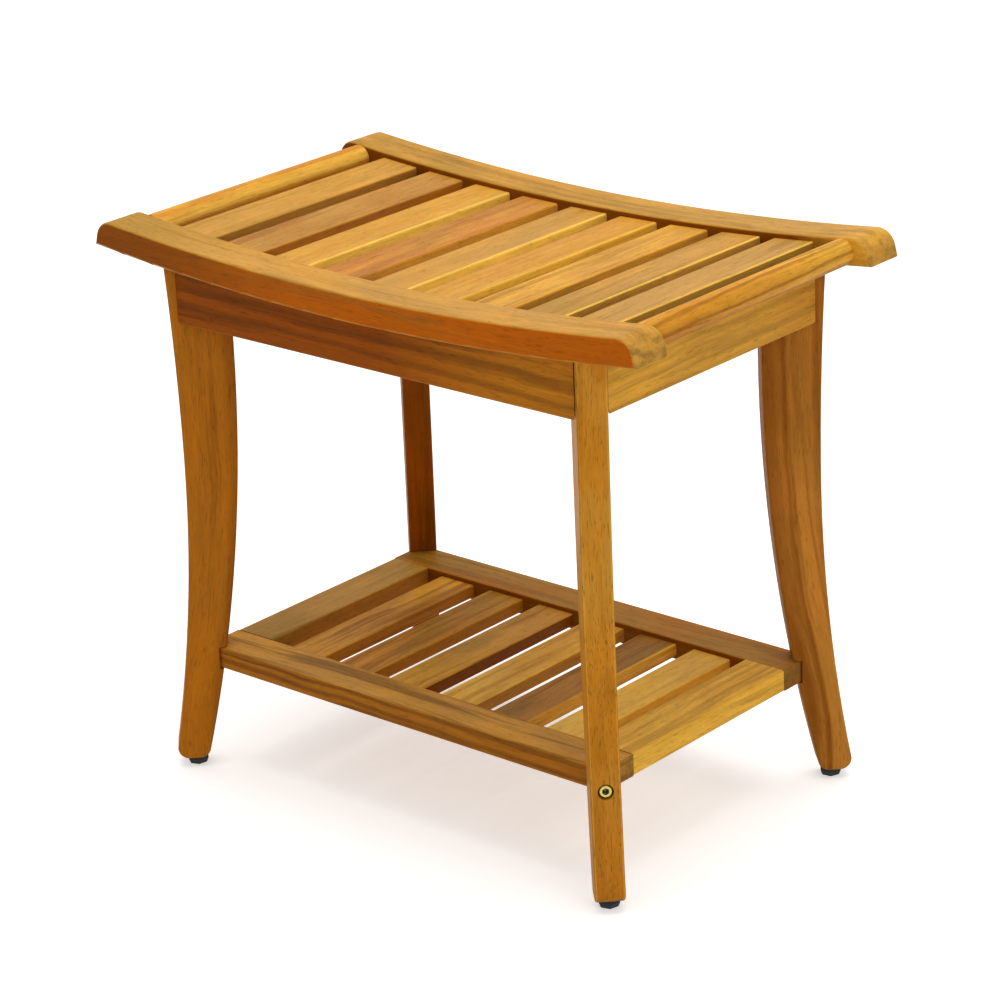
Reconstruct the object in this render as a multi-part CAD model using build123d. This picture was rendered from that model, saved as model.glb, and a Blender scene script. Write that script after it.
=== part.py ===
from build123d import *
import os
from math import asin, degrees, sqrt

# Slatted hardwood shower bench with a saddle-curved seat and a slatted shelf.
# Millimetres. The origin is on the floor under the middle of the bench:
# +X runs along the seat, +Y to the back and +Z up.

# Seat
rail_length = 540.0
seat_depth = 318.0
seat_mid_height = 443.2
saddle_radius = 2320.0
rail_width = 38.0
rail_thickness = 22.0
nose_radius = 15.0
nose_rake = 5.5
rail_arris = 2.5
wood_arris = 1.5

slat_count = 9
slat_width = 37.0
slat_thickness = 12.0
slat_recess = 4.5

end_bar_diameter = 21.0
end_bar_inset = 25.0
end_bar_finger_gap = 16.0
end_bar_tenon_diameter = 14.0

# Tenons of the seat slats, the end bars and the shelf
seat_tenon_length = 14.0
seat_tenon_thickness = 7.0
shelf_tenon_length = 10.0
shelf_tenon_thickness = 5.0
tenon_shoulder = 4.0
tenon_clearance = 0.15
mortise_end_space = 1.0

# Aprons under the seat
rail_end_overhang = 53.0
rail_side_overhang = 17.0
apron_thickness = 18.0
long_apron_height = 41.2
short_apron_lift = 3.0
apron_arris = 2.0
apron_end_gap = 0.7
glue_line = 0.1

# Legs: boards set on the diagonals of the corners
leg_thickness = 23.0
leg_waist_drop = 87.0
leg_waist_inset = 8.3
leg_outer_radius_above = 2700.0
leg_outer_radius_below = 1400.0
leg_inner_inset = 53.6
leg_straight_below_block = 33.0
leg_inner_radius = 1420.0
leg_toe_radius = 9.0
leg_arris = 2.0

# Shelf
shelf_inset = 11.5
shelf_top = 103.5
shelf_thickness = 18.0
shelf_long_rail_width = 36.0
shelf_short_rail_width = 38.0
shelf_corner_clip = 12.0
shelf_slat_count = 6
shelf_slat_width = 36.5
shelf_slat_thickness = 11.0
shelf_slat_recess = 4.0
shelf_end_gap = 15.0
notch_clearance = 0.7

# Corner blocks that hold the legs between the aprons
block_thickness = 22.0
block_height = 34.0
block_top_gap = 0.2

# Furniture bolts, inserts and washers
bolt_diameter = 6.0
bolt_head_diameter = 10.0
bolt_head_height = 6.0
bolt_socket_width = 5.0
bolt_socket_depth = 3.0
bolt_length = 40.0
bolt_head_sink = 1.4
counterbore_diameter = 12.2
bolt_hole_clearance = 0.3
thread_clearance = 0.05
insert_diameter = 9.0
insert_length = 15.0
leg_bolt_pitch = 18.0
washer_diameter = 14.0
washer_thickness = 1.5

# Screws through the corner blocks, and dowels between the aprons and the seat rails
screw_diameter = 4.0
screw_length = 24.0
screw_point = 4.0
screw_tip_diameter = 0.4
screw_head_diameter = 8.0
screw_head_height = 3.0
screw_pocket_clearance = 0.5
screw_bite = 13.0
dowel_diameter = 8.0
dowel_in_rail = 12.0
dowel_in_apron = 18.0
dowel_clearance = 0.1

# Levelling feet
foot_height = 7.0
foot_setback = 17.3
foot_gap = 0.3
foot_width = 16.0
foot_collar = 2.6
foot_taper = 20.0
foot_stem_diameter = 6.0
foot_stem_length = 24.0
foot_stem_embedded = 4.5
foot_stem_play = 0.1
foot_insert_length = 12.0

# Places of the seat
root2 = sqrt(2)
saddle_centre = seat_mid_height + saddle_radius
underside_radius = saddle_radius + rail_thickness
underside_middle = seat_mid_height - rail_thickness
slat_radius = saddle_radius + slat_recess
bar_radius = saddle_radius + rail_thickness / 2
bar_x = rail_length / 2 - end_bar_inset
slat_span = 2 * (bar_x - end_bar_diameter / 2 - end_bar_finger_gap)
slat_pitch = (slat_span - slat_width) / (slat_count - 1)
rail_centre_y = (seat_depth - rail_width) / 2
seat_inner_y = seat_depth / 2 - rail_width

# Places of the frame of aprons and of the corners' diagonals
frame_half_x = rail_length / 2 - rail_end_overhang
frame_half_y = seat_depth / 2 - rail_side_overhang
corner_offset = frame_half_x - frame_half_y
corner_reach = (frame_half_x + frame_half_y) / root2
apron_inner_x = frame_half_x - apron_thickness
apron_inner_y = frame_half_y - apron_thickness
long_apron_bottom = underside_middle - long_apron_height
short_apron_bottom = long_apron_bottom + short_apron_lift
block_bottom = underside_middle - block_top_gap - block_height
block_middle = block_bottom + block_height / 2

# Places of the legs and feet
leg_bottom = foot_height + foot_gap
leg_waist_reach = corner_reach - leg_waist_inset
leg_inner_reach = corner_reach - leg_inner_inset
leg_inner_bend_height = block_bottom - leg_straight_below_block
leg_waist_height = leg_inner_bend_height - leg_waist_drop
block_inner_reach = leg_inner_reach - block_thickness

# Places of the shelf
shelf_half_x = frame_half_x - shelf_inset
shelf_half_y = frame_half_y - shelf_inset
shelf_inner_x = shelf_half_x - shelf_short_rail_width
shelf_inner_y = shelf_half_y - shelf_long_rail_width
shelf_bolt_height = shelf_top - shelf_thickness / 2
shelf_seat_reach = (shelf_half_x + shelf_half_y - shelf_corner_clip) / root2
cut_room = leg_thickness

corners = {"front_left": (-1, -1), "front_right": (1, -1), "back_left": (-1, 1), "back_right": (1, 1)}
foot_turns = {"front_left": 20.0, "front_right": 75.0, "back_left": 48.0, "back_right": 8.0}
nodes = {}


def arc_rise(radius, run):
    """How far an arc leaves its tangent after a run along that tangent."""
    return radius - sqrt(radius ** 2 - run ** 2)


def seat_top(x):
    return seat_mid_height + arc_rise(saddle_radius, x)


def seat_underside(x):
    return saddle_centre - sqrt(underside_radius ** 2 - x ** 2)


def on_saddle(x, radius):
    """A place at x on the arc of this radius about the saddle's centre, tilted with the seat."""
    lean = degrees(asin(x / radius))
    return Pos(0, 0, saddle_centre) * Rot(0, -lean, 0) * Pos(0, 0, -radius)


def on_diagonal(reach, height):
    """A place on the back right corner's diagonal, with local Z pointing out along it."""
    along = reach / root2
    half_offset = corner_offset / 2
    return Pos(along + half_offset, along - half_offset, height) * Rot(0, 0, 45) * Rot(0, 90, 0)


def at_corner(shape, name):
    """Mirrors a shape made for the back right corner to the named corner."""
    side, face = corners[name]
    if side < 0:
        shape = mirror(shape, about=Plane.YZ)
    if face < 0:
        shape = mirror(shape, about=Plane.XZ)
    return shape


def rod(diameter, length):
    """A round bar that starts at the origin and runs along local Z."""
    return Pos(0, 0, length / 2) * Cylinder(diameter / 2, length)


def plate(points, bottom, height):
    """A flat board with this outline in plan."""
    return Pos(0, 0, bottom) * extrude(make_face(Polyline(*points, close=True)), height)


def round_broad_faces(board, radius):
    """Rounds all edges of a board's two faces that look along Y, one face after the other."""
    for side in (0, -1):
        board = fillet(board.faces().sort_by(Axis.Y)[side].edges(), radius)
    return board


def seat_drum():
    """The drum whose lowest part is the seat rails' underside. It trims what stands under the rails."""
    drum = Cylinder(underside_radius + glue_line, seat_depth + cut_room)
    return Pos(0, 0, saddle_centre) * Rot(90, 0, 0) * drum


def slat(width, thickness, span, tenon_thickness, tenon_length):
    """A slat along Y with its top face at local Z 0 and a tenon at each end."""
    board = fillet(Box(width, span, thickness).edges().filter_by(Axis.Y), wood_arris)
    return Pos(0, 0, -thickness / 2) * (board + tenon_bar(width, span, tenon_thickness, tenon_length))


def tenon_bar(width, span, thickness, length):
    """The bar through a slat that makes both of its tenons, centred on the slat."""
    return Box(width - 2 * tenon_shoulder, span + 2 * length, thickness)


def mortise_bar(width, slat_height, span, thickness, length):
    """The bar that cuts the mortises for a slat's tenons, with its clearances."""
    play = 2 * tenon_clearance
    bar = Box(width - 2 * tenon_shoulder + play, span + 2 * (length + mortise_end_space), thickness + play)
    return Pos(0, 0, -slat_height / 2) * bar


def seat_slat_places():
    middle = (slat_count - 1) / 2
    return [on_saddle((i - middle) * slat_pitch, slat_radius) for i in range(slat_count)]


def dowel_places():
    """Dowels stand between the slats' tenons, under the second and fourth gaps from the middle."""
    gaps = [(number - 0.5) * slat_pitch for number in (2, 4)]
    middle_y = frame_half_y - apron_thickness / 2
    return [(x, middle_y) for gap in gaps for x in (-gap, gap)]


def dowel(diameter, x, y, end_room=0.0):
    base = seat_underside(x) - dowel_in_apron - end_room
    return Pos(x, y, base) * rod(diameter, dowel_in_apron + dowel_in_rail + 2 * end_room)


def seat_rail():
    """The back rail: a saddle-curved board with rounded noses, mortised on its inner face."""
    tip = rail_length / 2
    tip_height = seat_underside(tip)
    neck = tip - nose_rake
    with BuildSketch(Plane.XZ) as side:
        with BuildLine():
            top = ThreePointArc((-neck, seat_top(neck)), (0, seat_top(0)), (neck, seat_top(neck)))
            Line(top @ 1, (tip, tip_height))
            under = ThreePointArc((tip, tip_height), (0, seat_underside(0)), (-tip, tip_height))
            Line(under @ 1, top @ 0)
        make_face()
        fillet(side.vertices().group_by(Axis.Y)[-1], nose_radius)
    rail = round_broad_faces(extrude(side.sketch, rail_width / 2, both=True), rail_arris)
    rail = Pos(0, rail_centre_y, 0) * rail
    slat_mortise = mortise_bar(slat_width, slat_thickness, 2 * seat_inner_y, seat_tenon_thickness,
                               seat_tenon_length)
    for place in seat_slat_places():
        rail -= place * slat_mortise
    for x in (-bar_x, bar_x):
        hole = rod(end_bar_tenon_diameter + 2 * tenon_clearance, seat_tenon_length + mortise_end_space)
        rail -= on_saddle(x, bar_radius) * Pos(0, seat_inner_y, 0) * Rot(-90, 0, 0) * hole
    for x, y in dowel_places():
        rail -= dowel(dowel_diameter + 2 * dowel_clearance, x, y, mortise_end_space)
    return rail


def end_bar():
    """The round bar at each end of the seat, turned down to a tenon at both ends."""
    span = 2 * seat_inner_y
    tenons = Cylinder(end_bar_tenon_diameter / 2, span + 2 * seat_tenon_length)
    return Rot(90, 0, 0) * (Cylinder(end_bar_diameter / 2, span) + tenons)


def round_bottom(board):
    """Rounds the four lower edges of an apron."""
    return fillet(board.edges().group_by(Axis.Z)[0], apron_arris)


def long_apron():
    """The back apron: its top follows the rail above, its ends are cut along the legs."""
    leg_room = (leg_thickness / 2 + apron_end_gap) * root2
    outer = frame_half_x - leg_room
    inner = outer - apron_thickness
    points = [(-inner, apron_inner_y), (inner, apron_inner_y), (outer, frame_half_y), (-outer, frame_half_y)]
    blank = plate(points, long_apron_bottom, seat_top(rail_length / 2) - long_apron_bottom)
    board = round_bottom(blank - seat_drum())
    for x, y in dowel_places():
        board -= dowel(dowel_diameter + 2 * dowel_clearance, x, y, mortise_end_space)
    for name in ("back_left", "back_right"):
        board -= at_corner(block_screw_place(0) * screw_pilot(), name)
    return board


def short_apron():
    """The right apron: level on top, with its ends cut along the legs."""
    leg_room = (leg_thickness / 2 + apron_end_gap) * root2
    outer = frame_half_y - leg_room
    inner = outer - apron_thickness
    points = [(apron_inner_x, -inner), (frame_half_x, -outer), (frame_half_x, outer), (apron_inner_x, inner)]
    top = seat_underside(apron_inner_x) - glue_line
    board = round_bottom(plate(points, short_apron_bottom, top - short_apron_bottom))
    for name in ("front_right", "back_right"):
        board -= at_corner(block_screw_place(1) * screw_pilot(), name)
    return board


def leg():
    """The back right leg: a sabre-shaped board on the corner's diagonal."""
    blank_top = seat_underside(frame_half_x) + cut_room
    bend = leg_inner_bend_height
    waist = leg_waist_height

    def outer_point(z):
        radius = leg_outer_radius_above if z > waist else leg_outer_radius_below
        return (leg_waist_reach + arc_rise(radius, z - waist), z)

    def inner_point(z):
        return (leg_inner_reach + arc_rise(leg_inner_radius, max(0.0, bend - z)), z)

    with BuildSketch(Plane.XZ) as side:
        with BuildLine():
            ThreePointArc(outer_point(blank_top), outer_point((blank_top + waist) / 2), outer_point(waist))
            ThreePointArc(outer_point(waist), outer_point((waist + leg_bottom) / 2), outer_point(leg_bottom))
            Line(outer_point(leg_bottom), inner_point(leg_bottom))
            ThreePointArc(inner_point(leg_bottom), inner_point((bend + leg_bottom) / 2), inner_point(bend))
            Polyline(inner_point(bend), inner_point(blank_top), outer_point(blank_top))
        make_face()
        fillet(side.vertices().group_by(Axis.Y)[0], leg_toe_radius)
    board = round_broad_faces(extrude(side.sketch, leg_thickness / 2, both=True), leg_arris)
    board = Pos(corner_offset / 2, -corner_offset / 2, 0) * Rot(0, 0, 45) * board
    board -= seat_drum()

    notch_depth = shelf_seat_reach - leg_inner_reach + cut_room
    notch = Box(shelf_thickness + 2 * notch_clearance, leg_thickness + cut_room, notch_depth)
    board -= on_diagonal(shelf_seat_reach - notch_depth / 2, shelf_bolt_height) * notch

    hole_length = leg_outer_reach() - shelf_seat_reach + cut_room
    clear_hole = rod(bolt_diameter + 2 * bolt_hole_clearance, hole_length)
    board -= on_diagonal(shelf_seat_reach - mortise_end_space, shelf_bolt_height) * clear_hole
    board -= on_diagonal(shelf_head_seat(), shelf_bolt_height) * rod(counterbore_diameter, cut_room)

    for height in leg_bolt_heights():
        place = on_diagonal(leg_inner_reach, height)
        board -= place * rod(insert_diameter, insert_length)
        board -= place * rod(bolt_diameter + 2 * bolt_hole_clearance, bolt_tip_depth())

    stem_room = foot_stem_length + foot_height
    board -= foot_place() * Pos(0, 0, foot_height) * rod(insert_diameter, foot_insert_length + foot_gap)
    board -= foot_place() * rod(foot_stem_diameter + 2 * bolt_hole_clearance, stem_room)
    return board


def leg_outer_reach():
    """How far the leg's outer edge stands out along the diagonal at the shelf bolt."""
    return leg_waist_reach + arc_rise(leg_outer_radius_below, leg_waist_height - shelf_bolt_height)


def shelf_head_seat():
    """The bottom of the counterbore, where the shelf bolt's head bears."""
    return leg_outer_reach() - bolt_head_sink - bolt_head_height


def leg_bolt_heights():
    return (block_middle - leg_bolt_pitch / 2, block_middle + leg_bolt_pitch / 2)


def bolt_tip_depth():
    """How far a leg bolt's tip passes the leg's inner edge, with a little room beyond it."""
    return bolt_length - washer_thickness - block_thickness + mortise_end_space


def foot_place():
    """The middle of the back right foot on the floor, set back from the leg's toe."""
    toe = leg_waist_reach + arc_rise(leg_outer_radius_below, leg_waist_height - leg_bottom)
    along = (toe - foot_setback) / root2
    return Pos(along + corner_offset / 2, along - corner_offset / 2, 0)


def corner_block():
    """The block glued between two aprons, which the leg is bolted to from inside."""
    outer_sum = leg_inner_reach * root2
    inner_sum = block_inner_reach * root2
    x, y = apron_inner_x, apron_inner_y
    points = [(outer_sum - y, y), (x, outer_sum - x), (x, inner_sum - x), (inner_sum - y, y)]
    block = plate(points, block_bottom, block_height)
    bolt_hole = rod(bolt_diameter + 2 * bolt_hole_clearance, block_thickness + 2 * cut_room)
    for height in leg_bolt_heights():
        block -= on_diagonal(block_inner_reach - cut_room, height) * bolt_hole
    head_pocket = rod(screw_head_diameter + 2 * screw_pocket_clearance, cut_room)
    for wing in (0, 1):
        place = block_screw_place(wing)
        block -= place * rod(screw_diameter + 2 * thread_clearance, screw_length)
        block -= place * Pos(0, 0, -cut_room) * head_pocket
    return block


def block_screw_place(wing):
    """Where a screw's head bears in the corner block. Local Z runs into the apron."""
    depth = screw_length - screw_bite
    across = block_thickness * root2
    if wing == 0:
        x = leg_inner_reach * root2 - apron_inner_y - across / 2
        return Pos(x, apron_inner_y - depth, block_middle) * Rot(-90, 0, 0)
    y = leg_inner_reach * root2 - apron_inner_x - across / 2
    return Pos(apron_inner_x - depth, y, block_middle) * Rot(0, 90, 0)


def screw_pilot():
    return rod(screw_diameter + 2 * thread_clearance, screw_length + mortise_end_space)


def screw():
    shank = rod(screw_diameter, screw_length - screw_point)
    point = Cone(screw_diameter / 2, screw_tip_diameter / 2, screw_point)
    point = Pos(0, 0, screw_length - screw_point / 2) * point
    head = Pos(0, 0, -screw_head_height) * rod(screw_head_diameter, screw_head_height)
    head = chamfer(head.edges().group_by(Axis.Z)[0], screw_head_height / 3)
    return head + shank + point


def furniture_bolt():
    """A cap bolt whose head bears at the origin and whose shank runs along local -Z."""
    head = rod(bolt_head_diameter, bolt_head_height)
    head = chamfer(head.edges().group_by(Axis.Z)[-1], bolt_head_height / 10)
    socket = extrude(RegularPolygon(bolt_socket_width / 2, 6, major_radius=False), bolt_socket_depth)
    head -= Pos(0, 0, bolt_head_height - bolt_socket_depth) * socket
    shank = Pos(0, 0, -bolt_length) * rod(bolt_diameter, bolt_length)
    shank = chamfer(shank.edges().group_by(Axis.Z)[0], bolt_diameter / 10)
    return head + shank


def threaded_insert(length):
    """A sleeve that starts at the origin and runs along local Z."""
    return rod(insert_diameter, length) - rod(bolt_diameter + 2 * thread_clearance, length)


def washer():
    hole = rod(bolt_diameter + 2 * bolt_hole_clearance, washer_thickness)
    return rod(washer_diameter, washer_thickness) - hole


def shelf_slat_xs():
    span = 2 * (shelf_inner_x - shelf_end_gap) - shelf_slat_width
    pitch = span / (shelf_slat_count - 1)
    middle = (shelf_slat_count - 1) / 2
    return [(i - middle) * pitch for i in range(shelf_slat_count)]


def shelf_long_rail():
    """The back rail of the shelf, its corners clipped where the legs take them."""
    width = shelf_long_rail_width
    board = Box(2 * shelf_half_x, width, shelf_thickness)
    clipped = board.edges().filter_by(Axis.Z).group_by(Axis.Y)[-1]
    board = chamfer(clipped, shelf_corner_clip)
    board = fillet(board.edges().filter_by(Axis.X), wood_arris)
    board = Pos(0, shelf_inner_y + width / 2, shelf_bolt_height) * board
    span = 2 * shelf_inner_y
    for x in shelf_slat_xs():
        place = Pos(x, 0, shelf_top - shelf_slat_recess)
        board -= place * mortise_bar(shelf_slat_width, shelf_slat_thickness, span,
                                     shelf_tenon_thickness, shelf_tenon_length)
    for x in (-1, 1):
        place = Pos(x * (shelf_half_x - shelf_short_rail_width / 2), 0, shelf_top)
        board -= place * mortise_bar(shelf_short_rail_width, shelf_thickness, span,
                                     shelf_tenon_thickness, shelf_tenon_length)
    for name in ("back_left", "back_right"):
        board -= at_corner(shelf_bolt_hole(), name)
    return board


def shelf_bolt_hole():
    """The hole along the diagonal for the insert, and on past the bolt's tip."""
    depth = bolt_length - (shelf_head_seat() - shelf_seat_reach) + mortise_end_space
    hole = on_diagonal(shelf_seat_reach, shelf_bolt_height)
    bore = Rot(180, 0, 0) * rod(bolt_diameter + 2 * bolt_hole_clearance, depth)
    return hole * (bore + Pos(0, 0, -insert_length) * rod(insert_diameter, insert_length))


def shelf_short_rail():
    """The right rail of the shelf, tenoned between the long rails."""
    span = 2 * shelf_inner_y
    width = shelf_short_rail_width
    board = fillet(Box(width, span, shelf_thickness).edges().filter_by(Axis.Y), wood_arris)
    board += tenon_bar(width, span, shelf_tenon_thickness, shelf_tenon_length)
    return Pos(shelf_half_x - width / 2, 0, shelf_bolt_height) * board


def foot_pad(name):
    """A hexagonal plastic foot, tapered to the floor. Each is turned as far as it was screwed in."""
    hexagon = RegularPolygon(foot_width / 2, 6, major_radius=False)
    skirt = Rot(180, 0, 0) * extrude(hexagon, foot_height - foot_collar, taper=foot_taper)
    pad = Pos(0, 0, foot_height - foot_collar) * (extrude(hexagon, foot_collar) + skirt)
    pad = chamfer(pad.faces().sort_by(Axis.Z)[0].edges(), foot_collar / 5)
    pad -= Pos(0, 0, foot_height - foot_stem_embedded) * rod(foot_stem_diameter, foot_height)
    return Rot(0, 0, foot_turns[name]) * pad


def foot_stem():
    stem = rod(foot_stem_diameter, foot_stem_length)
    stem = chamfer(stem.edges().group_by(Axis.Z)[-1], foot_stem_diameter / 10)
    return Pos(0, 0, foot_height - foot_stem_embedded) * stem


def foot_insert():
    sleeve = rod(insert_diameter, foot_insert_length)
    sleeve -= rod(foot_stem_diameter + 2 * foot_stem_play, foot_insert_length)
    return Pos(0, 0, leg_bottom) * sleeve


def moved_to(name, shape):
    """Puts an upright shape made about the origin at the named corner's foot."""
    side, face = corners[name]
    place = foot_place().position
    return Pos(side * place.X, face * place.Y, 0) * shape


# Seat
nodes["seat_rail_back"] = [seat_rail()]
nodes["seat_rail_front"] = [mirror(nodes["seat_rail_back"][0], about=Plane.XZ)]
for number, place in enumerate(seat_slat_places(), start=1):
    board = slat(slat_width, slat_thickness, 2 * seat_inner_y, seat_tenon_thickness, seat_tenon_length)
    nodes[f"seat_slat_{number}"] = [place * board]
nodes["end_bar_left"] = [on_saddle(-bar_x, bar_radius) * end_bar()]
nodes["end_bar_right"] = [on_saddle(bar_x, bar_radius) * end_bar()]

# Aprons and their dowels
nodes["apron_back"] = [long_apron()]
nodes["apron_front"] = [mirror(nodes["apron_back"][0], about=Plane.XZ)]
nodes["apron_right"] = [short_apron()]
nodes["apron_left"] = [mirror(nodes["apron_right"][0], about=Plane.YZ)]
nodes["apron_dowels"] = [dowel(dowel_diameter, x, side * y) for x, y in dowel_places() for side in (-1, 1)]

# Legs, corner blocks and their fastenings
right_leg = leg()
right_block = corner_block()
for name in corners:
    nodes[f"leg_{name}"] = [at_corner(right_leg, name)]
    nodes[f"corner_block_{name}"] = [at_corner(right_block, name)]
nodes["corner_block_screws"] = [at_corner(block_screw_place(wing) * screw(), name)
                                for name in corners for wing in (0, 1)]
leg_bolt_face = block_inner_reach - washer_thickness
nodes["leg_bolts"] = [at_corner(on_diagonal(leg_bolt_face, height) * Rot(180, 0, 0) * furniture_bolt(), name)
                      for name in corners for height in leg_bolt_heights()]
nodes["leg_bolt_washers"] = [at_corner(on_diagonal(leg_bolt_face, height) * washer(), name)
                             for name in corners for height in leg_bolt_heights()]
leg_insert = threaded_insert(insert_length)
nodes["leg_inserts"] = [at_corner(on_diagonal(leg_inner_reach, height) * leg_insert, name)
                        for name in corners for height in leg_bolt_heights()]

# Shelf
nodes["shelf_rail_back"] = [shelf_long_rail()]
nodes["shelf_rail_front"] = [mirror(nodes["shelf_rail_back"][0], about=Plane.XZ)]
nodes["shelf_rail_right"] = [shelf_short_rail()]
nodes["shelf_rail_left"] = [mirror(nodes["shelf_rail_right"][0], about=Plane.YZ)]
for number, x in enumerate(shelf_slat_xs(), start=1):
    board = slat(shelf_slat_width, shelf_slat_thickness, 2 * shelf_inner_y,
                 shelf_tenon_thickness, shelf_tenon_length)
    nodes[f"shelf_slat_{number}"] = [Pos(x, 0, shelf_top - shelf_slat_recess) * board]
nodes["shelf_bolts"] = [at_corner(on_diagonal(shelf_head_seat(), shelf_bolt_height) * furniture_bolt(), name)
                        for name in corners]
shelf_insert_place = on_diagonal(shelf_seat_reach - insert_length, shelf_bolt_height)
nodes["shelf_inserts"] = [at_corner(shelf_insert_place * threaded_insert(insert_length), name)
                          for name in corners]

# Levelling feet
for name in corners:
    nodes[f"foot_pad_{name}"] = [moved_to(name, foot_pad(name))]
    nodes[f"foot_stem_{name}"] = [moved_to(name, foot_stem())]
nodes["foot_inserts"] = [moved_to(name, foot_insert()) for name in corners]

os.makedirs("parts", exist_ok=True)
for name, solids in nodes.items():
    shape = solids[0] if len(solids) == 1 else Compound(children=solids)
    export_step(shape, f"parts/{name}.step")
print(len(nodes), "nodes written")
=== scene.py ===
import math
import random
from collections import namedtuple

import bmesh
import bpy
from mathutils import Matrix, Vector


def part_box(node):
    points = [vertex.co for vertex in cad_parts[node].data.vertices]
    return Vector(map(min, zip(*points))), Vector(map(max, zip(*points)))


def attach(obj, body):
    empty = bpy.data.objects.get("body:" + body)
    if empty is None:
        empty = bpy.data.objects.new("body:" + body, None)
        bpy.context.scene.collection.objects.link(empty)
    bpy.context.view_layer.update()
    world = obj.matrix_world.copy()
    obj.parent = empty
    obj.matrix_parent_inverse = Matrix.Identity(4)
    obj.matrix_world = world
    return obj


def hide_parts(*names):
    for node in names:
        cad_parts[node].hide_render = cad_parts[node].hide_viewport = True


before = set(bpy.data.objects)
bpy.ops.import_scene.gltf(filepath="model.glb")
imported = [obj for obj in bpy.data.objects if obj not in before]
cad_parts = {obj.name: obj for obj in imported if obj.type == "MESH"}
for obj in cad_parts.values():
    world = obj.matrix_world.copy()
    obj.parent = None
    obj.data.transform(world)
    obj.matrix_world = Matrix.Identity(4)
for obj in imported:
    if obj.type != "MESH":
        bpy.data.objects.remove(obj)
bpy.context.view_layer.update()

MM = 0.001
CORNERS = ("front_left", "front_right", "back_left", "back_right")

# The camera stands where the photograph's did, in millimetres, degrees and pixels.
CAMERA_AZIMUTH = 41.4
CAMERA_ELEVATION = 20.95
CAMERA_ROLL = -2.46
CAMERA_FOCAL_PIXELS = 3586.5
CAMERA_DISTANCE = 2819.4
CAMERA_TARGET_HEIGHT = 240.0
CAMERA_SIDESTEP = 0.8
CAMERA_RISE = -7.94
IMAGE_PIXELS = 1000
SENSOR_WIDTH = 36.0

# The room: places in metres, lamps in watts
ROOM_LIGHT = 0.5
FLOOR_WIDTH = 30.0
FLOOR_GLOW = 0.45
SOFTBOXES = {
    "overhead_softbox": dict(place=(-0.1, 0.3, 2.6), aim=(0.0, 0.0, 0.3), width=2.2, power=42.0),
    "right_softbox": dict(place=(2.6, -1.0, 1.3), aim=(0.0, 0.0, 0.25), width=1.4, power=11.0),
}

# The feet's threads: millimetres, with the crest's two edges as shares of the pitch
THREAD_PITCH = 1.0
THREAD_CREST = 3.0
THREAD_ROOT = 2.45
THREAD_OVERLAP = 0.15
THREAD_CREST_LOW = 0.44
THREAD_CREST_HIGH = 0.56
THREAD_STEPS = 20

# The shelf bolts' heads. The shadow in the socket and its paler floor end between these distances from the
# axis, in millimetres.
SOCKET_EDGE = (2.35, 2.85)
SOCKET_FLOOR_EDGE = (0.5, 1.3)
SOCKET_FLOOR_SHOW = 0.6
SOCKET_ROUGHNESS = 0.2
SOCKET_DULLNESS = 0.6
BOLT_ROUGHNESS = 0.3

# Oiled wood. A pair of numbers is where a mask starts and where it is full. Lengths are in millimetres.
GRAIN_AXES = {"x": (0, 1, 2), "y": (1, 0, 2), "z": (2, 0, 1)}
PATTERN_SPREAD = 900
GRAIN_SLOPE = 0.012
WANDER_ACROSS = 18.0
WANDER_THROUGH = 12.0
RIPPLE_ACROSS = 3.4
RIPPLE_THROUGH = 2.6
FACING_TOP = (0.35, 0.8)
FACING_END = (0.3, 0.85)
FACING_UP = (0.25, 0.6)
HAZE = (0.36, 0.62)
HAZE_STRENGTH = 0.7
STREAKS = (0.47, 0.63)
BROAD_STREAKS = 0.74
PORES = (0.58, 0.7)
# Painted highlight along the arrises: where it starts and is full across a slat and through a leg, and its
# strength before the clouds add to it
SLAT_ARRIS = (15.4, 17.2)
LEG_ARRIS = (9.6, 11.0)
ARRIS_HIGHLIGHT = 0.35
END_TONE = 0.5
END_BLOTCHES = (0.4, 0.7)
END_BLOTCH_TONE = 0.55
STAIN_RAGGEDNESS = 70.0
BAND_WANDER = 5.0
BAND_RIPPLE = 4.0
BAND_RAGGEDNESS = 0.7
BAND_EDGE = (0.1, 0.62)
BAND_PATCHES = 0.45
FIBRE_CONTRAST = 0.4
LINE_CONTRAST = 0.3
GRAIN_BUMP = 0.12
GRAIN_RELIEF = 0.3
PORE_RELIEF = 0.5
OIL_GLOSS = 0.05
OIL_ROUGHNESS = 0.42
STREAK_ROUGHNESS = 0.06
END_ROUGHNESS = 0.16
PORE_ROUGHNESS = 0.1
FIRST_BOARD_SEED = 11
FIRST_LEG_SEED = 61
BLOCK_SEED_STEP = 20

# The grain of a leg follows its curve: from this height above its middle down to its foot.
LEG_CURVE = (140.0, -207.0)
LEG_HEAD_OFFSET = 16.0
LEG_BOW = 33.0

# Each layer of the figure: how fast it changes per millimetre along the fibres and across them, and how
# finely. A fibrous layer runs in long strips along the board, and the others lie on it like clouds.
FIGURE = {
    "wander": dict(run=0.006, cross=0.012, detail=1.0),
    "ripple": dict(run=0.022, cross=0.05, detail=2.0),
    "clouds": dict(run=0.011, cross=0.03, detail=3.0),
    "mottle": dict(run=0.035, cross=0.1, detail=2.0),
    "wide": dict(run=0.0032, cross=0.085, detail=2.0, fibrous=True),
    "lines": dict(run=0.006, cross=0.26, detail=3.0, roughness=0.6, fibrous=True),
    "fibre": dict(run=0.03, cross=0.75, detail=3.0, roughness=0.7, fibrous=True),
    "pores": dict(run=0.1, cross=1.1, detail=1.0, fibrous=True),
}

# How fast the blotches of the end grain change per millimetre
BLOTCHES_ACROSS = 0.07
BLOTCHES_THROUGH = 0.16
BLOTCHES_ALONG = 0.04
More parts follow.
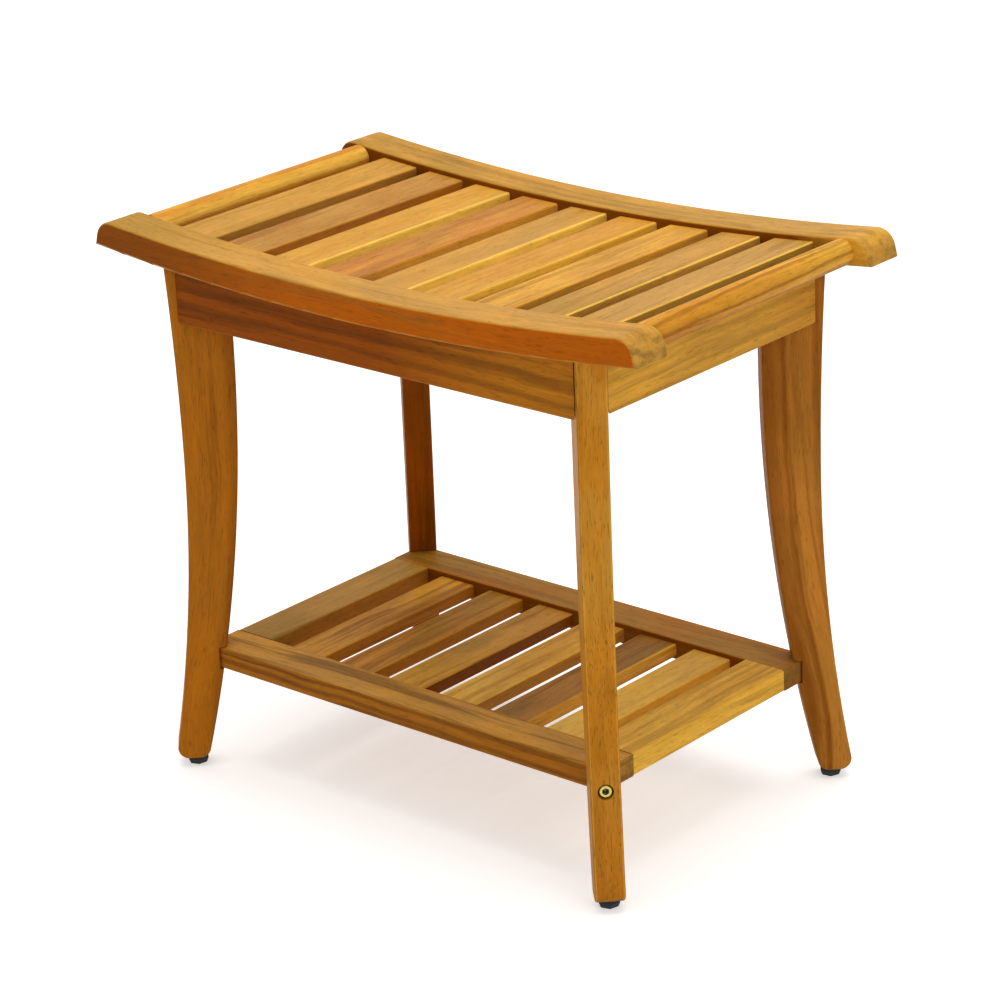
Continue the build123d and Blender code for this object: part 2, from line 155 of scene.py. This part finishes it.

# A band is a dark stripe along a board: the way it is measured, where and how wide in millimetres, how
# strong, and how steeply it leaves the board's line. A tone patch takes over the top or the flank, from
# where it starts along the board to where it is full; some are the wood's own stains, and some are
# painted shade and light along the board.
Band = namedtuple("Band", "way where width strength slope", defaults=[0.0])
StainAndShade = namedtuple("StainAndShade", "part start full tone strength")


# Nodes

class Value:
    """A number in a shader: arithmetic on it adds Math nodes."""

    def __init__(self, nodes, socket):
        self.nodes = nodes
        self.socket = socket

    def combine(self, operation, *others):
        sockets = {index + 1: other for index, other in enumerate(others)}
        node = self.nodes.node("ShaderNodeMath", {"operation": operation}, {0: self, **sockets})
        return Value(self.nodes, node.outputs[0])

    def reflected(self, operation, other):
        node = self.nodes.node("ShaderNodeMath", {"operation": operation}, {0: other, 1: self})
        return Value(self.nodes, node.outputs[0])

    def __add__(self, other):
        return self.combine("ADD", other)

    __radd__ = __add__

    def __sub__(self, other):
        return self.combine("SUBTRACT", other)

    def __rsub__(self, other):
        return self.reflected("SUBTRACT", other)

    def __mul__(self, other):
        return self.combine("MULTIPLY", other)

    def __pow__(self, other):
        return self.combine("POWER", other)

    def __abs__(self):
        return self.combine("ABSOLUTE")


class Nodes:
    """One node tree, built up node by node."""

    def __init__(self, tree):
        self.tree = tree

    def node(self, kind, settings=None, inputs=None):
        node = self.tree.nodes.new(kind)
        for name, value in (settings or {}).items():
            setattr(node, name, value)
        for key, value in (inputs or {}).items():
            self.feed(node.inputs[key], value)
        return node

    def feed(self, socket, value):
        if isinstance(value, Value):
            value = value.socket
        if isinstance(value, bpy.types.NodeSocket):
            self.tree.links.new(value, socket)
        else:
            socket.default_value = value

    def vector(self, x, y, z):
        return self.node("ShaderNodeCombineXYZ", inputs={0: x, 1: y, 2: z}).outputs[0]

    def noise(self, vector, detail=2.0, roughness=0.5):
        """Smooth noise about 0.5 at a place given in the pattern's own units."""
        node = self.node("ShaderNodeTexNoise", {"noise_dimensions": "3D"}, {
            "Vector": vector, "Scale": 1.0, "Detail": detail, "Roughness": roughness, "Distortion": 0.0})
        return Value(self, node.outputs[0])

    def placed(self, vector, axes=(0, 1, 2), centre=(0.0, 0.0, 0.0), turn=0.0):
        """The numbers of a vector from a centre, turned about Z by degrees, in the order of these axes."""
        mapped = self.node("ShaderNodeMapping", {"vector_type": "TEXTURE"}, {
            "Vector": vector, "Location": centre, "Rotation": (0.0, 0.0, math.radians(-turn))})
        parts = self.node("ShaderNodeSeparateXYZ", inputs={0: mapped.outputs[0]}).outputs
        return [Value(self, parts[axis]) for axis in axes]

    def step(self, value, start, full):
        """0 up to the start and 1 from where it is full, with a smooth change between them."""
        node = self.node("ShaderNodeMapRange", {"interpolation_type": "SMOOTHSTEP"}, {
            "Value": value, "From Min": start, "From Max": full})
        return Value(self, node.outputs[0])

    def mix(self, factor, a, b, blend="MIX"):
        """One colour turned towards another by a factor."""
        node = self.node("ShaderNodeMix", {"data_type": "RGBA", "blend_type": blend}, {0: factor, 6: a, 7: b})
        return node.outputs[2]

    def backdrop_rays(self):
        """1 for a ray that shows the backdrop: straight from the camera, in a gloss or through glass."""
        rays = self.node("ShaderNodeLightPath").outputs
        direct, glossy, through = (
            Value(self, rays[f"Is {kind} Ray"]) for kind in ("Camera", "Glossy", "Transmission"))
        return (direct + glossy + through).combine("MINIMUM", 1.0)


class Finish(Nodes):
    """A material with one Principled shader."""

    def __init__(self, name):
        self.material = bpy.data.materials.new(name)
        self.material.use_nodes = True
        super().__init__(self.material.node_tree)
        self.shader = next(n for n in self.tree.nodes if n.type == "BSDF_PRINCIPLED")

    def set(self, **sockets):
        for name, value in sockets.items():
            self.feed(self.shader.inputs[name.replace("_", " ")], value)


def tone(red, green, blue):
    """A display colour, 0 to 255, as the linear colour that a shader takes."""
    def linear(channel):
        c = channel / 255
        return c / 12.92 if c <= 0.04045 else ((c + 0.055) / 1.055) ** 2.4
    return (linear(red), linear(green), linear(blue), 1.0)


def plain(name, colour, roughness, **sockets):
    finish = Finish(name)
    finish.set(Base_Color=colour, Roughness=roughness, **sockets)
    return finish.material


def dress(node, material):
    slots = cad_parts[node].data.materials
    slots.clear()
    slots.append(material)


def middle(node):
    low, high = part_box(node)
    return tuple((a + b) / 2 for a, b in zip(low, high))


# Timber: long streaks and fine fibre run along the board, and the ends show blotches of open pores.

class Board(Finish):
    """The finish of one board, in the board's own directions.

    Along, across and through are millimetres from its middle: along the fibres, over its width and through
    its thickness. Side and rise are the last two as the fibres run, which wander a little. Top, end and sides
    are 1 on the broad faces, on the ends and on the narrow faces.
    """

    def __init__(self, name, grain, centre, turn, bow, outward, seed):
        super().__init__(name)
        draw = random.Random(seed)
        self.shift = draw.uniform(0, PATTERN_SPREAD)
        axes = GRAIN_AXES[grain]
        place = self.node("ShaderNodeTexCoord").outputs
        lengthways, _, self.upward = self.placed(place["Normal"], axes, turn=turn)
        self.along, self.across, self.through = (
            value * (1 / MM) for value in self.placed(place["Object"], axes, centre, turn))
        if bow:
            below = self.step(self.along, *LEG_CURVE)
            self.across = self.across * outward + LEG_HEAD_OFFSET - below * below * bow
        self.top = self.step(abs(self.upward), *FACING_TOP)
        self.end = self.step(abs(lengthways), *FACING_END)
        self.sides = (1.0 - self.top) * (1.0 - self.end)
        self.side, self.rise = self.across, self.through
        self.wander = self.figure("wander") - 0.5
        self.ripple = self.figure("ripple") - 0.5
        slope = draw.uniform(-GRAIN_SLOPE, GRAIN_SLOPE)
        drift = self.wander * WANDER_ACROSS + self.ripple * RIPPLE_ACROSS
        self.side = self.across + drift + self.along * slope
        self.rise = self.through + self.wander * WANDER_THROUGH + self.ripple * RIPPLE_THROUGH
        self.clouds = self.figure("clouds")
        self.lines = self.figure("lines")

    def figure(self, layer):
        look = FIGURE[layer]
        run = self.along * look["run"] + self.shift
        side, rise = self.side * look["cross"], self.rise * look["cross"]
        vector = self.vector(side, rise, run) if look.get("fibrous") else self.vector(run, side, rise)
        return self.noise(vector, look["detail"], look.get("roughness", 0.5))

    def stripe(self, band):
        measured = self.across if band.way == "across" else self.through
        drift = self.ripple * BAND_RIPPLE + self.wander * BAND_WANDER
        drift = drift + (self.lines - 0.5) * band.width * BAND_RAGGEDNESS
        distance = abs(measured + drift - self.along * band.slope - band.where)
        fade = 1.0 - self.step(distance, *(band.width * share for share in BAND_EDGE))
        return fade * (BAND_PATCHES + self.clouds) * band.strength

    def reach(self, stain_and_shade):
        along = self.along + (self.clouds - 0.5) * STAIN_RAGGEDNESS
        face = self.top if stain_and_shade.part == "top" else self.sides
        return self.step(along, stain_and_shade.start, stain_and_shade.full) * stain_and_shade.strength * face

    # A painted highlight along an arris, patchy with the clouds
    def painted_arris_highlight(self, arris):
        return arris * (ARRIS_HIGHLIGHT + self.clouds)

    def blotches(self):
        """The open pores of the end grain."""
        vector = self.vector(self.across * BLOTCHES_ACROSS + self.shift, self.through * BLOTCHES_THROUGH,
                             self.along * BLOTCHES_ALONG)
        return self.end * self.step(self.noise(vector), *END_BLOTCHES)


def timber(name, grain, centre, ground, streak, haze, seed, depth=0.5, flank=None, edge=None, rim=None,
           bands=(), stains_and_shade=(), pored=0.24, end_tone=None, turn=0.0, bow=0.0, outward=1.0):
    """An oiled board. Grain is the axis that its fibres run along, and centre its middle in metres.

    Ground, haze and streak are its tones, and depth is how strongly the streaks show. Flank is the tone of
    its narrow faces, edge that of a painted highlight along a slat's upper right arris, and rim that of a
    painted highlight along a leg's arrises. Pored is how dark its pores are. Turn is the board's turn about
    Z, and bow how far a leg's grain swings out below.
    dark its pores are. Turn is the board's turn about Z, and bow how far a leg's grain swings out below.
    """
    board = Board(name, grain, centre, turn, bow, outward, seed)
    dark = board.step(board.figure("wide") * BROAD_STREAKS + board.lines * (1.0 - BROAD_STREAKS), *STREAKS)
    for band in bands:
        dark = dark + board.stripe(band) * (1.0 - dark)

    colour = board.mix(board.step(board.clouds, *HAZE) * HAZE_STRENGTH, ground, haze)
    if flank:
        colour = board.mix(board.sides, colour, flank)
    # Tone patches: the wood's own stains, and on some boards painted shade and light
    for stain_and_shade in stains_and_shade:
        colour = board.mix(board.reach(stain_and_shade), colour, stain_and_shade.tone)
    colour = board.mix(dark * depth, colour, streak)
    # Painted highlights: a pale line along a slat's upper right arris, and pale lines along a leg's arrises
    if edge:
        arris = board.step(board.across, *SLAT_ARRIS) * board.step(board.upward, *FACING_UP)
        colour = board.mix(board.painted_arris_highlight(arris), colour, edge)
    if rim:
        arris = board.step(abs(board.through), *LEG_ARRIS) * (1.0 - board.top)
        colour = board.mix(board.painted_arris_highlight(arris), colour, rim)
    colour = board.mix(board.end * END_TONE, colour, end_tone or OLIVE)
    colour = board.mix(board.blotches() * END_BLOTCH_TONE, colour, GREY_BROWN)

    fibre = board.figure("fibre")
    pores = board.step(board.figure("pores"), *PORES)
    contrast = (0.5 - board.lines) * LINE_CONTRAST + (0.5 - board.figure("mottle")) * LINE_CONTRAST
    shade = 1.0 + (0.5 - fibre) * FIBRE_CONTRAST - pores * pored + contrast
    colour = board.mix(1.0, colour, board.vector(shade, shade, shade), "MULTIPLY")
    bump = board.node("ShaderNodeBump", inputs={"Strength": GRAIN_BUMP, "Distance": GRAIN_RELIEF * MM,
                                                "Height": fibre - pores * PORE_RELIEF})
    roughness = OIL_ROUGHNESS + dark * STREAK_ROUGHNESS + board.end * END_ROUGHNESS + pores * PORE_ROUGHNESS
    board.set(Base_Color=colour, Roughness=roughness, Specular_IOR_Level=OIL_GLOSS, Normal=bump.outputs[0])
    return board.material


# Tones of the oiled wood, from pale sapwood to dark heart; some also serve as painted highlight and shade
STRAW = tone(250, 200, 84)
CORN = tone(240, 184, 66)
GOLD = tone(230, 168, 54)
HONEY = tone(222, 158, 54)
SAND = tone(212, 156, 66)
BARLEY = tone(210, 153, 56)
DUNE = tone(192, 141, 62)
CLAY = tone(180, 122, 44)
TAN = tone(216, 146, 42)
WHEAT = tone(206, 146, 52)
ROSE = tone(200, 129, 46)
OCHRE = tone(202, 130, 30)
AMBER = tone(188, 112, 20)
BRONZE = tone(176, 108, 24)
DEEP_ORANGE = tone(194, 97, 0)
RUSSET = tone(158, 78, 4)
UMBER = tone(130, 69, 4)
WALNUT = tone(88, 46, 4)
ROSEWOOD = tone(152, 94, 50)
OLIVE = tone(164, 124, 44)
MOSS = tone(140, 100, 34)
GREY_BROWN = tone(104, 80, 40)

BOARDS = {
    # The front rail's flank is painted darker towards its left end: painted shade. Its deep orange against
    # the paler, hazier top is partly the wood's own tone and partly painted shade on the flank and painted
    # sheen on the top.
    "seat_rail_front": dict(grain="x", ground=WHEAT, streak=MOSS, haze=DUNE, depth=0.4, flank=DEEP_ORANGE,
                            end_tone=SAND, stains_and_shade=[StainAndShade("flank", -20.0, -230.0, UMBER, 0.8),
                                                   StainAndShade("top", -120.0, -240.0, OLIVE, 0.7)]),
    # The back rail's umber flank is painted shade on its inner face between the slats' ends; near its right
    # end the flank turns gold.
    "seat_rail_back": dict(grain="x", ground=WHEAT, streak=MOSS, haze=OLIVE, depth=0.45, flank=UMBER,
                           end_tone=SAND, stains_and_shade=[StainAndShade("top", 225.0, 262.0, CORN, 0.5),
                                                  StainAndShade("top", -40.0, 60.0, SAND, 0.4),
                                                  StainAndShade("flank", 205.0, 235.0, GOLD, 0.9)]),
    "seat_slat_1": dict(ground=WHEAT, streak=OLIVE, haze=DUNE, depth=0.4, flank=CLAY),
    "seat_slat_2": dict(ground=CLAY, streak=ROSEWOOD, haze=DUNE, depth=0.5, flank=BRONZE),
    "seat_slat_3": dict(ground=BARLEY, streak=OCHRE, haze=WHEAT, depth=0.3, flank=STRAW, edge=STRAW),
    "seat_slat_4": dict(ground=ROSE, streak=ROSEWOOD, haze=WHEAT, depth=0.4, flank=WHEAT),
    "seat_slat_5": dict(ground=DUNE, streak=OLIVE, haze=WHEAT, depth=0.4, flank=STRAW, edge=STRAW),
    "seat_slat_6": dict(ground=BARLEY, streak=OCHRE, haze=ROSE, depth=0.4, flank=CORN, edge=CORN),
    "seat_slat_7": dict(ground=WHEAT, streak=MOSS, haze=GOLD, depth=0.5, flank=WHEAT, edge=HONEY),
    "seat_slat_8": dict(ground=DUNE, streak=MOSS, haze=WHEAT, depth=0.4, flank=SAND, edge=STRAW,
                        stains_and_shade=[StainAndShade("top", 0.0, -100.0, OLIVE, 0.5)]),
    "seat_slat_9": dict(ground=DUNE, streak=MOSS, haze=DUNE, depth=0.4, flank=OLIVE, edge=STRAW),
    # The pale stripe along the left end bar's upper side is painted highlight: the lit top of the round bar.
    "end_bar_left": dict(ground=HONEY, streak=STRAW, haze=ROSE, depth=0.6,
                         bands=[Band("through", 3.0, 6.0, 1.4)],
                         stains_and_shade=[StainAndShade("top", -50.0, 80.0, OCHRE, 0.8),
                                 StainAndShade("flank", -50.0, 80.0, OCHRE, 0.4)]),
    "end_bar_right": dict(ground=OCHRE, streak=UMBER, haze=HONEY, depth=0.6,
                          bands=[Band("through", 1.0, 3.5, 0.9, 0.015),
                                 Band("across", 5.0, 4.0, 0.8, -0.01)],
                          stains_and_shade=[StainAndShade("top", 20.0, 120.0, CORN, 0.8),
                                  StainAndShade("flank", 20.0, 120.0, CORN, 0.6)]),
    # The front apron's face is painted darker towards its left end and lighter towards its right: painted
    # shade and painted light.
    "apron_front": dict(grain="x", ground=AMBER, streak=WALNUT, haze=AMBER, depth=0.55,
                        bands=[Band("through", 3.0, 11.0, 0.8, -0.015),
                               Band("through", -11.0, 7.0, 0.7, -0.02)],
                        stains_and_shade=[StainAndShade("flank", 150.0, -10.0, RUSSET, 1.0),
                                StainAndShade("flank", 60.0, 190.0, OCHRE, 0.6)]),
    "apron_back": dict(grain="x", ground=AMBER, streak=WALNUT, haze=RUSSET, depth=0.6),
    "apron_left": dict(ground=OCHRE, streak=UMBER, haze=AMBER, depth=0.5),
    "apron_right": dict(ground=BARLEY, streak=MOSS, haze=GOLD, depth=0.4,
                        bands=[Band("through", -5.0, 8.0, 0.4, 0.03)],
                        stains_and_shade=[StainAndShade("flank", 20.0, 120.0, OCHRE, 0.6)]),
    "shelf_rail_front": dict(grain="x", ground=HONEY, streak=WALNUT, haze=DUNE, depth=0.55, flank=BRONZE,
                             bands=[Band("through", 5.5, 4.0, 1.0),
                                    Band("through", -3.0, 5.0, 0.9, -0.012)]),
    "shelf_rail_back": dict(grain="x", ground=BRONZE, streak=MOSS, haze=OLIVE, depth=0.6, flank=UMBER),
    "shelf_rail_left": dict(ground=DUNE, streak=MOSS, haze=OLIVE, depth=0.5, flank=BRONZE),
    # The right shelf rail's corn tone and the sixth shelf slat's pale tones are partly painted light, lifted
    # against the shade under the seat.
    "shelf_rail_right": dict(ground=CORN, streak=MOSS, haze=GOLD, depth=0.35,
                             bands=[Band("across", 7.0, 4.5, 1.4)]),
    # The shelf slats' tops turn lighter towards the front and darker towards the back.
    "shelf_slat_1": dict(ground=HONEY, streak=UMBER, haze=CLAY, depth=0.55, flank=BRONZE,
                         stains_and_shade=[StainAndShade("top", 20.0, -80.0, HONEY, 0.6)]),
    "shelf_slat_2": dict(ground=OCHRE, streak=UMBER, haze=OLIVE, depth=0.55, flank=BRONZE,
                         stains_and_shade=[StainAndShade("top", 20.0, -80.0, HONEY, 0.5)]),
    "shelf_slat_3": dict(ground=WHEAT, streak=UMBER, haze=OLIVE, depth=0.5, flank=UMBER,
                         stains_and_shade=[StainAndShade("top", 20.0, -70.0, GOLD, 0.7),
                                 StainAndShade("top", 0.0, 90.0, CLAY, 0.5)]),
    "shelf_slat_4": dict(ground=GOLD, streak=BRONZE, haze=SAND, depth=0.5, flank=CLAY,
                         stains_and_shade=[StainAndShade("top", 20.0, -70.0, STRAW, 0.7),
                                 StainAndShade("top", 0.0, 90.0, WHEAT, 0.5)]),
    "shelf_slat_5": dict(ground=CLAY, streak=UMBER, haze=MOSS, depth=0.6, flank=HONEY, edge=GOLD,
                         stains_and_shade=[StainAndShade("top", 0.0, 90.0, MOSS, 0.4)]),
    "shelf_slat_6": dict(ground=CORN, streak=SAND, haze=STRAW, depth=0.5, flank=GOLD,
                         stains_and_shade=[StainAndShade("top", 0.0, 90.0, DUNE, 0.6),
                                 StainAndShade("top", 20.0, -80.0, STRAW, 0.8)]),
}
for seed, (node, look) in enumerate(BOARDS.items(), start=FIRST_BOARD_SEED):
    look = {"grain": "y", "end_tone": GREY_BROWN if node.startswith("shelf") else OLIVE, **look}
    dress(node, timber(f"timber_{node}", centre=middle(node), seed=seed, **look))

LEGS = {
    "front_left": dict(ground=AMBER, streak=UMBER, haze=BRONZE, depth=0.45,
                       bands=[Band("across", -17.0, 18.0, 1.2)]),
    "front_right": dict(ground=OCHRE, streak=BRONZE, haze=WHEAT, depth=0.4, pored=0.36, rim=CORN,
                        stains_and_shade=[StainAndShade("flank", -60.0, -200.0, AMBER, 0.7),
                                StainAndShade("top", -60.0, -200.0, AMBER, 0.7)]),
    "back_left": dict(ground=RUSSET, streak=WALNUT, haze=UMBER, depth=0.5),
    "back_right": dict(ground=ROSE, streak=UMBER, haze=CLAY, depth=0.6, rim=HONEY,
                       bands=[Band("across", -14.0, 24.0, 1.3), Band("across", -1.0, 6.0, 1.4)],
                       stains_and_shade=[StainAndShade("top", 10.0, 90.0, UMBER, 0.35)]),
}
for seed, (corner, look) in enumerate(LEGS.items(), start=FIRST_LEG_SEED):
    diagonal = -45.0 if corner in ("front_left", "back_right") else 45.0
    node = f"leg_{corner}"
    dress(node, timber(f"timber_{node}", "z", middle(node), seed=seed, turn=diagonal, bow=LEG_BOW,
                       outward=1.0 if corner.endswith("right") else -1.0, **look))
    block = f"corner_block_{corner}"
    dress(block, timber(f"timber_{block}", "x", middle(block), SAND, BRONZE, TAN, seed + BLOCK_SEED_STEP,
                        depth=0.4, turn=diagonal))
dress("apron_dowels", plain("beech_dowel", tone(214, 184, 134), 0.6))


# Metal and plastic

PALE_BRASS = tone(198, 184, 100)
SOCKET_SHADOW = tone(28, 25, 18)
SOCKET_GREY = tone(150, 146, 120)


def bolt_finish():
    """Pale passivated brass, with a painted shadow inside the hexagonal socket of the shelf bolts' heads,
    lighter at its floor.

    The bolts lie on the corners' diagonals, so their axes keep one difference between x and y.
    """
    low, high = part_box("shelf_bolts")
    finish = Finish("pale_passivated_brass")
    place = finish.node("ShaderNodeTexCoord").outputs["Object"]
    x, y, z = (value * (1 / MM) for value in finish.placed(place))
    aside = (abs(x) - abs(y) - (high[0] - high[1]) / MM) * math.sqrt(0.5)
    above = z - (low[2] + high[2]) / 2 / MM
    distance = (aside * aside + above * above) ** 0.5
    socket = 1.0 - finish.step(distance, *SOCKET_EDGE)
    bottom = 1.0 - finish.step(distance, *SOCKET_FLOOR_EDGE)
    colour = finish.mix(socket, PALE_BRASS, SOCKET_SHADOW)
    colour = finish.mix(bottom * SOCKET_FLOOR_SHOW, colour, SOCKET_GREY)
    finish.set(Base_Color=colour, Roughness=BOLT_ROUGHNESS + socket * SOCKET_ROUGHNESS,
               Metallic=1.0 - socket * SOCKET_DULLNESS)
    return finish.material


zinc = plain("zinc_plate", tone(196, 198, 196), 0.34, Metallic=1.0)
brass = plain("yellow_brass", tone(206, 168, 92), 0.36, Metallic=1.0)
foot_black = plain("black_foot_plastic", tone(8, 8, 10), 0.3, Specular_IOR_Level=0.3)
for node in ("corner_block_screws", "leg_bolts", "leg_bolt_washers"):
    dress(node, zinc)
for node in ("leg_inserts", "shelf_inserts", "foot_inserts"):
    dress(node, brass)
dress("shelf_bolts", bolt_finish())
for corner in CORNERS:
    dress(f"foot_pad_{corner}", foot_black)
    dress(f"foot_stem_{corner}", zinc)


# Each foot's stem carries a thread, which shows where the foot is screwed out of its leg.

def threaded_stem(corner):
    low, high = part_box(f"foot_stem_{corner}")
    x, y, z = middle(f"foot_stem_{corner}")
    pad_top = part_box(f"foot_pad_{corner}")[1][2]
    shape = bmesh.new()
    bmesh.ops.create_cone(shape, cap_ends=True, segments=THREAD_STEPS, radius1=THREAD_ROOT * MM,
                          radius2=THREAD_ROOT * MM, depth=high[2] - low[2],
                          matrix=Matrix.Translation((x, y, z)))
    turns = int((high[2] - pad_top) / (THREAD_PITCH * MM)) - 1
    buried = THREAD_ROOT - THREAD_OVERLAP
    ridge = [(buried, 0.0), (THREAD_CREST, THREAD_CREST_LOW), (THREAD_CREST, THREAD_CREST_HIGH),
             (buried, 1.0)]
    points = [shape.verts.new((x + reach * MM, y, pad_top + part * THREAD_PITCH * MM))
              for reach, part in ridge]
    edges = [shape.edges.new((points[i - 1], points[i])) for i in range(len(points))]
    bmesh.ops.spin(shape, geom=points + edges, cent=(x, y, 0.0), axis=(0.0, 0.0, 1.0),
                   dvec=(0.0, 0.0, THREAD_PITCH * MM / THREAD_STEPS), angle=2 * math.pi * turns,
                   steps=THREAD_STEPS * turns, use_merge=False)
    bmesh.ops.holes_fill(shape, edges=[edge for edge in shape.edges if edge.is_boundary], sides=len(points))
    bmesh.ops.recalc_face_normals(shape, faces=shape.faces)
    data = bpy.data.meshes.new(f"threaded_stem_{corner}")
    shape.to_mesh(data)
    shape.free()
    piece = bpy.data.objects.new(f"threaded_stem_{corner}", data)
    bpy.context.collection.objects.link(piece)
    data.materials.append(zinc)
    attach(piece, f"foot_{corner}")
    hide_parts(f"foot_stem_{corner}")


for corner in CORNERS:
    threaded_stem(corner)


# Floor, light and camera

def floor():
    finish = Finish("pale_floor")
    glow = finish.backdrop_rays() * FLOOR_GLOW
    finish.set(Base_Color=tone(245, 245, 244), Roughness=0.9, Specular_IOR_Level=0.1,
               Emission_Color=finish.vector(glow, glow, glow), Emission_Strength=1.0)
    bpy.ops.mesh.primitive_plane_add(size=FLOOR_WIDTH)
    plane = bpy.context.object
    plane.name = "floor"
    plane.data.materials.append(finish.material)


def surroundings():
    """A soft even room, which looks pure white to the camera."""
    world = bpy.data.worlds.new("surroundings")
    world.use_nodes = True
    bpy.context.scene.world = world
    world.node_tree.nodes.clear()
    nodes = Nodes(world.node_tree)
    white = (1.0, 1.0, 1.0, 1.0)
    soft = nodes.node("ShaderNodeBackground", inputs={"Color": white, "Strength": ROOM_LIGHT})
    seen = nodes.node("ShaderNodeBackground", inputs={"Color": white})
    mixed = nodes.node("ShaderNodeMixShader", inputs={0: nodes.backdrop_rays(), 1: soft.outputs[0],
                                                      2: seen.outputs[0]})
    nodes.node("ShaderNodeOutputWorld", inputs={"Surface": mixed.outputs[0]})


def softbox(name, place, aim, width, power):
    data = bpy.data.lights.new(name, "AREA")
    data.shape = "SQUARE"
    data.size = width
    data.energy = power
    light = bpy.data.objects.new(name, data)
    bpy.context.collection.objects.link(light)
    light.location = place
    light.rotation_euler = (Vector(aim) - Vector(place)).to_track_quat("-Z", "Y").to_euler()


def camera():
    azimuth = math.radians(CAMERA_AZIMUTH)
    elevation = math.radians(CAMERA_ELEVATION)
    roll = math.radians(CAMERA_ROLL)
    back = Vector((math.sin(azimuth) * math.cos(elevation), -math.cos(azimuth) * math.cos(elevation),
                   math.sin(elevation)))
    level_right = (-back).cross(Vector((0, 0, 1))).normalized()
    level_up = level_right.cross(-back)
    right = level_right * math.cos(roll) + level_up * math.sin(roll)
    up = level_up * math.cos(roll) - level_right * math.sin(roll)
    target = Vector((0, 0, CAMERA_TARGET_HEIGHT))
    eye = target + back * CAMERA_DISTANCE + right * CAMERA_SIDESTEP + up * CAMERA_RISE
    data = bpy.data.cameras.new("photo_camera")
    data.sensor_width = SENSOR_WIDTH
    data.lens = CAMERA_FOCAL_PIXELS / IMAGE_PIXELS * SENSOR_WIDTH
    seen = bpy.data.objects.new("photo_camera", data)
    bpy.context.collection.objects.link(seen)
    turn = Matrix((right, up, back)).transposed().to_4x4()
    seen.matrix_world = Matrix.Translation(eye * MM) @ turn
    bpy.context.scene.camera = seen


floor()
surroundings()
for name, look in SOFTBOXES.items():
    softbox(name, **look)
camera()
bpy.context.scene.view_settings.view_transform = "Standard"
